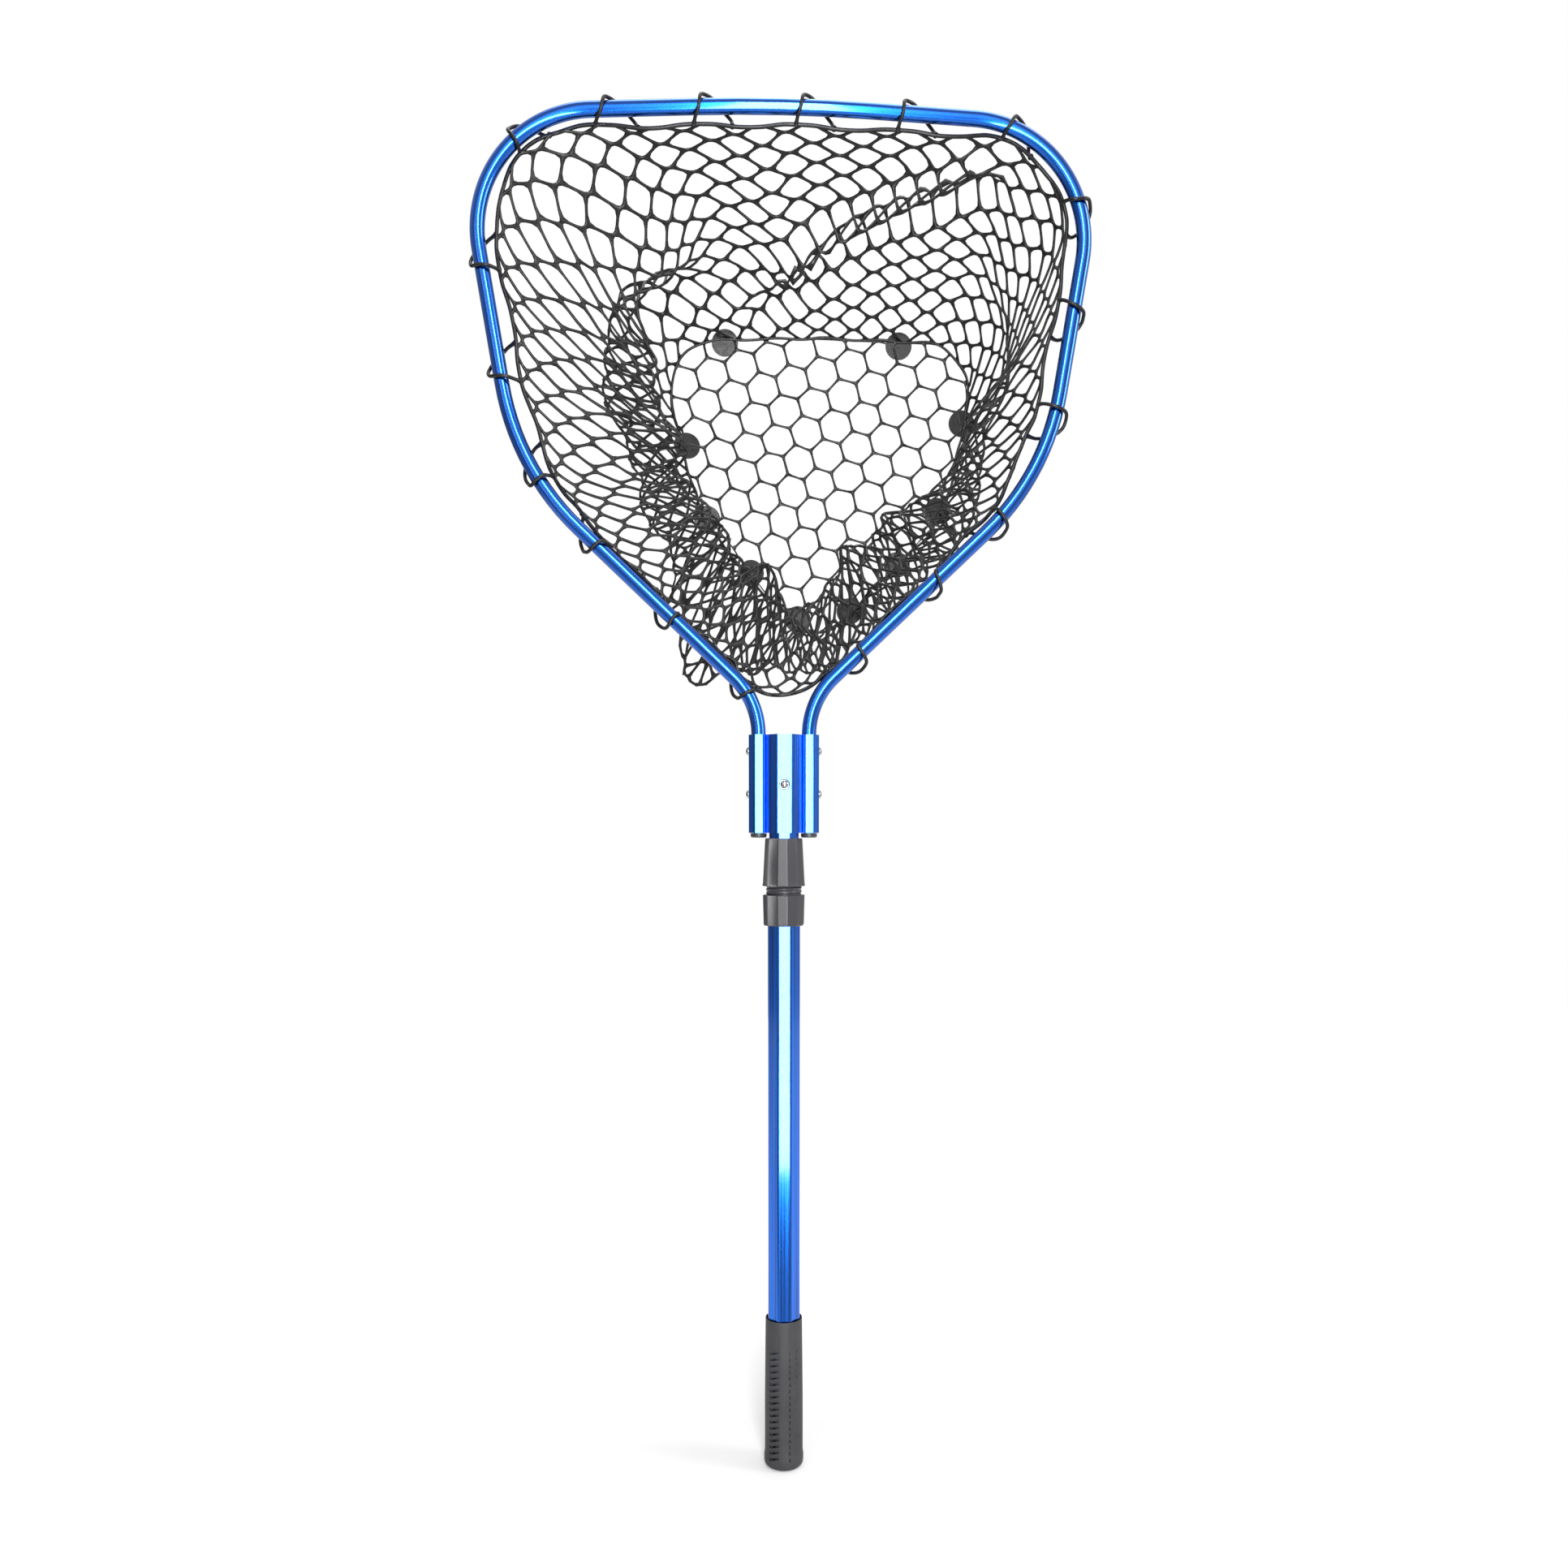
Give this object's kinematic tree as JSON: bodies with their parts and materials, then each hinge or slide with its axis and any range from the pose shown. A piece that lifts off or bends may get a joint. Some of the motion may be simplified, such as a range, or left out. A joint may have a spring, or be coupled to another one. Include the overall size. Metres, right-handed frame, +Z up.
{
  "type": "telescoping landing net",
  "caption": "Fishing landing net: rounded-triangle tube hoop in an extruded yoke, moulded rubber bag net, telescoping octagonal pole with twist lock and rubber grip.",
  "frame": {"origin": "centre of the flat butt end of the grip", "axes": "+Z up along the pole to the hoop's crown, -Y the front with the snap button, +Y the side that the net bag hangs on, +X right seen from the front"},
  "size_m": [0.5, 0.2188, 1.1192],
  "materials": {
    "blue_anodised_aluminium": "bright anodised",
    "lock_plastic": "satin moulded",
    "grip_rubber": "matt moulded",
    "net_rubber": "semi-gloss moulded",
    "polished_steel": "polished"
  },
  "bodies": {
    "handle": {"outer_pole": "blue_anodised_aluminium", "grip": "grip_rubber", "threaded_collar": "lock_plastic"},
    "collet": {"collet": "lock_plastic"},
    "lock_nut": {"lock_nut": "lock_plastic"},
    "head": {"inner_pole": "blue_anodised_aluminium", "guide_bush": "lock_plastic", "yoke": "blue_anodised_aluminium", "hoop": "blue_anodised_aluminium", "hoop_plug_left": "lock_plastic", "hoop_plug_right": "lock_plastic", "rivet_left_lower": "polished_steel", "rivet_left_upper": "polished_steel", "rivet_right_lower": "polished_steel", "rivet_right_upper": "polished_steel", "button_spring": "polished_steel", "net_rim": "net_rubber", "net_loop_01": "net_rubber", "net_loop_02": "net_rubber", "net_loop_03": "net_rubber", "net_loop_04": "net_rubber", "net_loop_05": "net_rubber", "net_loop_06": "net_rubber", "net_loop_07": "net_rubber", "net_loop_08": "net_rubber", "net_loop_09": "net_rubber", "net_loop_10": "net_rubber", "net_loop_11": "net_rubber", "net_loop_12": "net_rubber", "net_loop_13": "net_rubber", "net_loop_14": "net_rubber", "net_loop_15": "net_rubber", "net_loop_16": "net_rubber", "net_loop_17": "net_rubber", "net_loop_18": "net_rubber", "net_bag": "net_rubber"},
    "snap_button": {"snap_button": "polished_steel"}
  },
  "joints": [
    {"name": "pole_extension", "type": "slide", "parent": "handle", "child": "head", "axis": [0, 0, 1], "range_m": [0, 0.36]},
    {"name": "collet_travel", "type": "slide", "parent": "handle", "child": "collet", "axis": [0, 0, 1], "range_m": [-0.006, 0]},
    {"name": "nut_turn", "type": "hinge", "parent": "collet", "child": "lock_nut", "pos_m": [0, 0, 0.4881], "axis": [0, 0, 1], "range_deg": [-720, 0]},
    {"name": "button_press", "type": "slide", "parent": "head", "child": "snap_button", "axis": [0, 1, 0], "range_m": [0, 0.0036], "stiffness_N_per_m": 900, "springref_m": -0.002, "deforming": ["button_spring"]}
  ],
  "couplings": [
    {"joint": "collet_travel", "follows": "nut_turn", "m_per_rad": 0.00047746}
  ]
}
